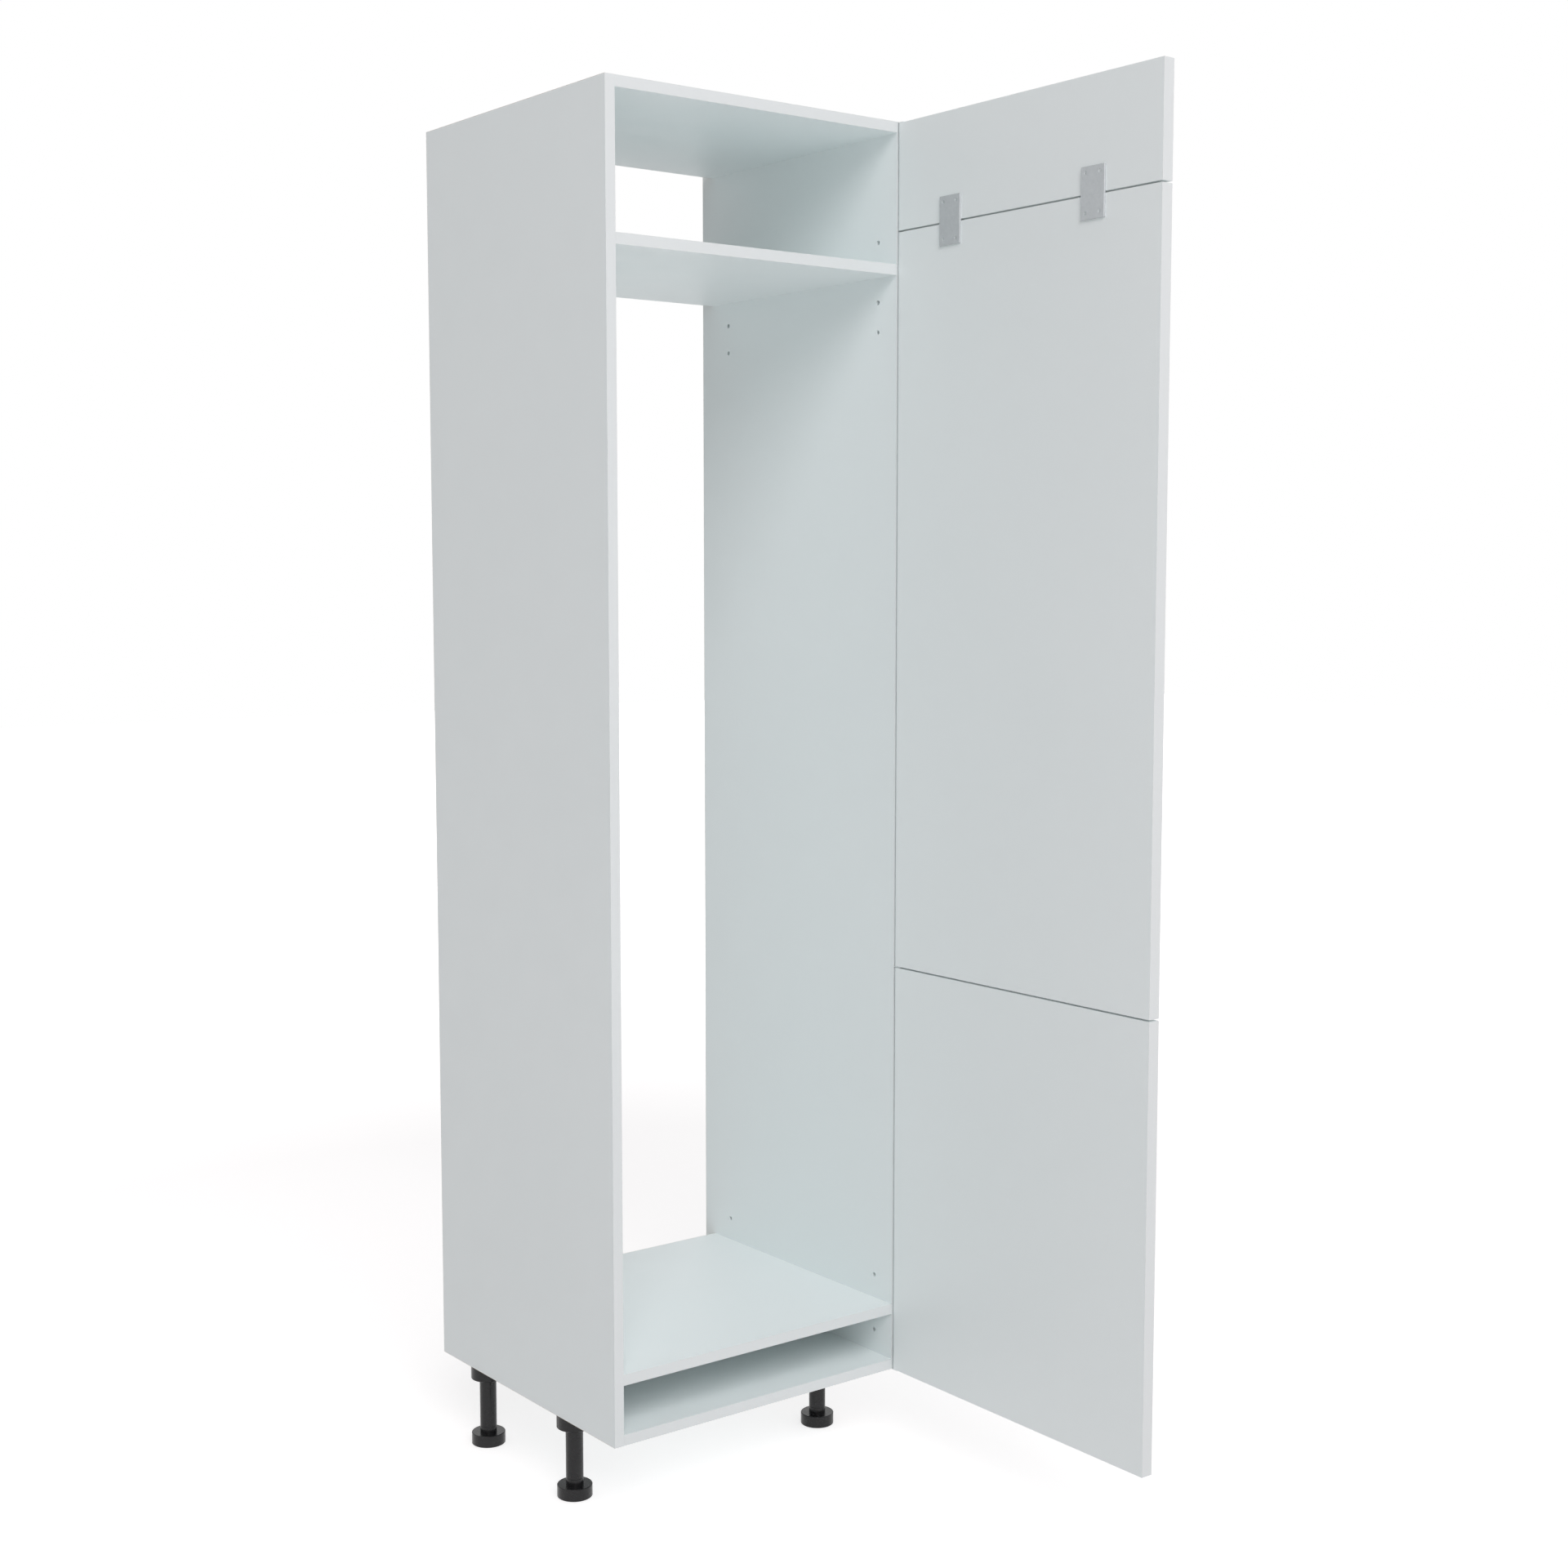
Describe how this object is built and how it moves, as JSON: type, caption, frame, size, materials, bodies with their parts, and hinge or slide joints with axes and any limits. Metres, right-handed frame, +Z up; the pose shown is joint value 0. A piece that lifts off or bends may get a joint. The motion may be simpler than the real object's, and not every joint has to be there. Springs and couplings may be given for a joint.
{
  "type": "fridge housing unit",
  "caption": "Tall open-backed kitchen housing for a built-in fridge-freezer, with fixed shelves, doors hung one above the other on hidden pivots and adjustable legs.",
  "frame": {"origin": "on the floor, under the middle of the whole outline with the doors open at a right angle", "axes": "+Z up, -Y towards the front where the doors open, +X to the side that the doors are hung on"},
  "size_m": [0.604, 1.157, 2.3],
  "materials": {
    "carcass_laminate": "white melamine-faced chipboard, matt with a very fine pearl texture",
    "edge_band": "white ABS edging, satin",
    "door_laminate": "white foil-faced board, satin",
    "leg_plastic": "black moulded plastic, matt with a fine spark texture",
    "plate_steel": "zinc-plated sheet, dull and lightly brushed",
    "hinge_steel": "zinc-plated steel, satin",
    "screw_steel": "bright zinc plating",
    "zinc_fitting": "die-cast zinc and plated steel, dull grey",
    "dowel_beech": "plain beech",
    "bush_plastic": "off-white acetal, satin"
  },
  "bodies": {
    "carcass": {"side_panel_left": "carcass_laminate", "side_panel_right": "carcass_laminate", "top_panel": "carcass_laminate", "upper_shelf": "carcass_laminate", "fridge_shelf": "carcass_laminate", "base_panel": "carcass_laminate", "side_band_left": "edge_band", "side_band_right": "edge_band", "board_bands": "edge_band", "top_panel_cam_bolts": "zinc_fitting", "upper_shelf_cam_bolts": "zinc_fitting", "fridge_shelf_cam_bolts": "zinc_fitting", "base_panel_cam_bolts": "zinc_fitting", "top_panel_cams": "zinc_fitting", "upper_shelf_cams": "zinc_fitting", "fridge_shelf_cams": "zinc_fitting", "base_panel_cams": "zinc_fitting", "top_panel_dowels": "dowel_beech", "base_panel_dowels": "dowel_beech", "leg_socket_front_left": "leg_plastic", "leg_socket_front_right": "leg_plastic", "leg_socket_rear_left": "leg_plastic", "leg_socket_rear_right": "leg_plastic", "leg_tube_front_left": "leg_plastic", "leg_tube_front_right": "leg_plastic", "leg_tube_rear_left": "leg_plastic", "leg_tube_rear_right": "leg_plastic", "top_pivot_bracket": "hinge_steel", "centre_pivot_bracket": "hinge_steel", "bottom_pivot_bracket": "hinge_steel", "top_pivot_pin": "hinge_steel", "centre_pivot_pin": "hinge_steel", "bottom_pivot_pin": "hinge_steel", "socket_screws": "screw_steel", "bracket_screws": "screw_steel"},
    "upper_door": {"door_middle": "door_laminate", "door_top": "door_laminate", "joining_plate_hinge_side": "plate_steel", "joining_plate_free_side": "plate_steel", "joining_screws": "screw_steel", "top_door_bush": "bush_plastic", "middle_door_bush": "bush_plastic"},
    "lower_door": {"door_bottom": "door_laminate", "lower_door_upper_bush": "bush_plastic", "lower_door_lower_bush": "bush_plastic"},
    "foot_front_left": {"foot_front_left": "leg_plastic"},
    "foot_front_right": {"foot_front_right": "leg_plastic"},
    "foot_rear_left": {"foot_rear_left": "leg_plastic"},
    "foot_rear_right": {"foot_rear_right": "leg_plastic"}
  },
  "joints": [
    {"name": "upper_door_hinge", "type": "hinge", "parent": "carcass", "child": "upper_door", "pos_m": [0.2875, 0.009, 1.58], "axis": [0, 0, 1], "range_deg": [-90, 5]},
    {"name": "lower_door_hinge", "type": "hinge", "parent": "carcass", "child": "lower_door", "pos_m": [0.2875, 0.009, 0.509], "axis": [0, 0, 1], "range_deg": [-90, 5]},
    {"name": "foot_front_left_adjust", "type": "slide", "parent": "carcass", "child": "foot_front_left", "axis": [0, 0, -1], "range_m": [0, 0.02]},
    {"name": "foot_front_right_adjust", "type": "slide", "parent": "carcass", "child": "foot_front_right", "axis": [0, 0, -1], "range_m": [0, 0.02]},
    {"name": "foot_rear_left_adjust", "type": "slide", "parent": "carcass", "child": "foot_rear_left", "axis": [0, 0, -1], "range_m": [0, 0.02]},
    {"name": "foot_rear_right_adjust", "type": "slide", "parent": "carcass", "child": "foot_rear_right", "axis": [0, 0, -1], "range_m": [0, 0.02]}
  ]
}
